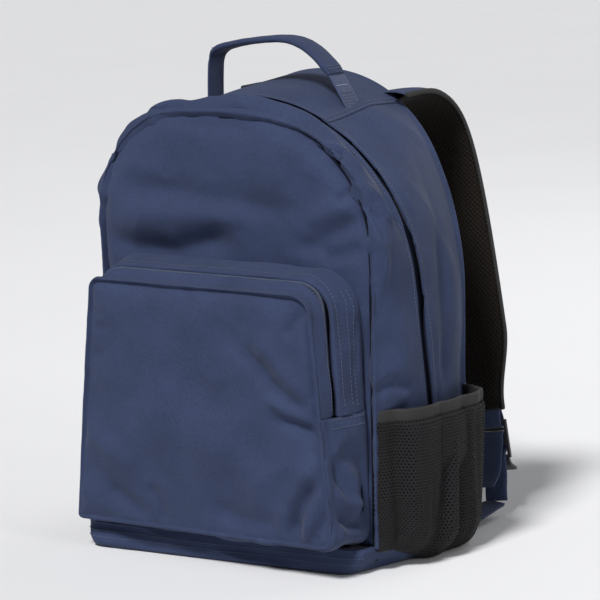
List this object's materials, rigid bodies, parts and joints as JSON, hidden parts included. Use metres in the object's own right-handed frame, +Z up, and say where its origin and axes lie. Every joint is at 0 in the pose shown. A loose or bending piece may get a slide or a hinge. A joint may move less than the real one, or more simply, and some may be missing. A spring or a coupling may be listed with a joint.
{
  "type": "school backpack",
  "caption": "School backpack with a zipped main compartment, a zipped front pocket, mesh side pockets, padded shoulder straps and a haul loop.",
  "frame": {"origin": "centre of the bounding box on the floor that the bag stands on", "axes": "+Z up, +X to the right as seen from the front, -Y the way the front pocket faces, +Y towards the wearer's back"},
  "size_m": [0.3734, 0.3392, 0.4805],
  "materials": {
    "navy_polyester": "matt woven polyester",
    "navy_webbing": "ribbed woven webbing",
    "black_mesh": "open knitted mesh",
    "black_binding": "elastic binding",
    "spacer_mesh": "knitted spacer mesh",
    "foam": "closed-cell foam",
    "lining": "plain woven lining",
    "zip_tape": "woven zip tape",
    "zip_coil": "nylon coil",
    "zip_metal": "lacquered",
    "buckle_plastic": "moulded, lightly textured"
  },
  "bodies": {
    "bag": {"front_panel": "navy_polyester", "front_gusset": "navy_polyester", "rear_gusset_right": "navy_polyester", "rear_gusset_left": "navy_polyester", "yoke_panel": "navy_polyester", "base_panel": "navy_polyester", "back_panel_mesh": "spacer_mesh", "back_panel_foam": "foam", "back_panel_lining": "lining", "seam_tape_front": "zip_tape", "seam_tape_rear": "zip_tape", "seam_tape_pocket": "zip_tape", "main_zip_tape_front": "zip_tape", "main_zip_tape_rear": "zip_tape", "main_zip_coil_front": "zip_coil", "main_zip_coil_rear": "zip_coil", "pocket_panel": "navy_polyester", "pocket_gusset_front": "navy_polyester", "pocket_gusset_rear": "navy_polyester", "pocket_gusset_lower": "navy_polyester", "pocket_zip_tape_front": "zip_tape", "pocket_zip_tape_rear": "zip_tape", "pocket_zip_coil_front": "zip_coil", "pocket_zip_coil_rear": "zip_coil", "haul_webbing_ends": "navy_webbing", "side_mesh_right": "black_mesh", "side_binding_right": "black_binding", "anchor_tab_right": "navy_polyester", "side_mesh_left": "black_mesh", "side_binding_left": "black_binding", "anchor_tab_left": "navy_polyester"},
    "upper_slider": {"main_zip_upper_slider": "zip_metal"},
    "upper_pull": {"main_zip_upper_pull": "zip_metal"},
    "lower_slider": {"main_zip_lower_slider": "zip_metal"},
    "lower_pull": {"main_zip_lower_pull": "zip_metal"},
    "pocket_slider": {"pocket_zip_slider": "zip_metal"},
    "pocket_pull": {"pocket_zip_pull": "zip_metal"},
    "haul_loop": {"haul_webbing": "navy_webbing", "haul_grip": "navy_polyester"},
    "strap_right": {"strap_shell_right": "navy_polyester", "strap_foam_right": "foam", "strap_mesh_right": "spacer_mesh", "strap_edge_tape_right": "black_binding", "lock_webbing_right": "navy_webbing", "ladder_lock_right": "buckle_plastic", "adjuster_webbing_right": "navy_webbing"},
    "strap_left": {"strap_shell_left": "navy_polyester", "strap_foam_left": "foam", "strap_mesh_left": "spacer_mesh", "strap_edge_tape_left": "black_binding", "lock_webbing_left": "navy_webbing", "ladder_lock_left": "buckle_plastic", "adjuster_webbing_left": "navy_webbing"}
  },
  "joints": [
    {"name": "main_zip_open_over_the_top", "type": "hinge", "parent": "bag", "child": "upper_slider", "pos_m": [0, -0.05371, 0.26272], "axis": [0, 0.9877, 0.1564], "range_deg": [0, 180]},
    {"name": "upper_pull_flip", "type": "hinge", "parent": "upper_slider", "child": "upper_pull", "pos_m": [-0.1686, -0.05371, 0.26272], "axis": [0, 0.9877, 0.1564], "range_deg": [0, 150]},
    {"name": "main_zip_open_down_the_side", "type": "slide", "parent": "bag", "child": "lower_slider", "axis": [0, 0.1564, -0.9877], "range_m": [0, 0.12]},
    {"name": "lower_pull_flip", "type": "hinge", "parent": "lower_slider", "child": "lower_pull", "pos_m": [-0.1686, -0.05176, 0.25038], "axis": [0, 0.9877, 0.1564], "range_deg": [0, 20]},
    {"name": "pocket_zip_open_upwards", "type": "slide", "parent": "bag", "child": "pocket_slider", "axis": [0.0736, 0, 0.9973], "range_m": [0, 0.07]},
    {"name": "pocket_pull_flip", "type": "hinge", "parent": "pocket_slider", "child": "pocket_pull", "pos_m": [-0.13878, -0.1501, 0.16012], "axis": [0, 1, 0], "range_deg": [0, 170]},
    {"name": "haul_loop_swing", "type": "hinge", "parent": "bag", "child": "haul_loop", "pos_m": [0, -0.0201, 0.428], "axis": [1, 0, 0], "range_deg": [-50, 60], "stiffness_Nm_per_rad": 0.06},
    {"name": "strap_swing_right", "type": "hinge", "parent": "bag", "child": "strap_right", "pos_m": [0.12812, 0.1464, 0.01185], "axis": [-0.1548, -0.1426, 0.9776], "range_deg": [-25, 25], "stiffness_Nm_per_rad": 0.5},
    {"name": "strap_swing_left", "type": "hinge", "parent": "bag", "child": "strap_left", "pos_m": [-0.12812, 0.1464, 0.01185], "axis": [0.1548, -0.1426, 0.9776], "range_deg": [-25, 25], "stiffness_Nm_per_rad": 0.5}
  ]
}
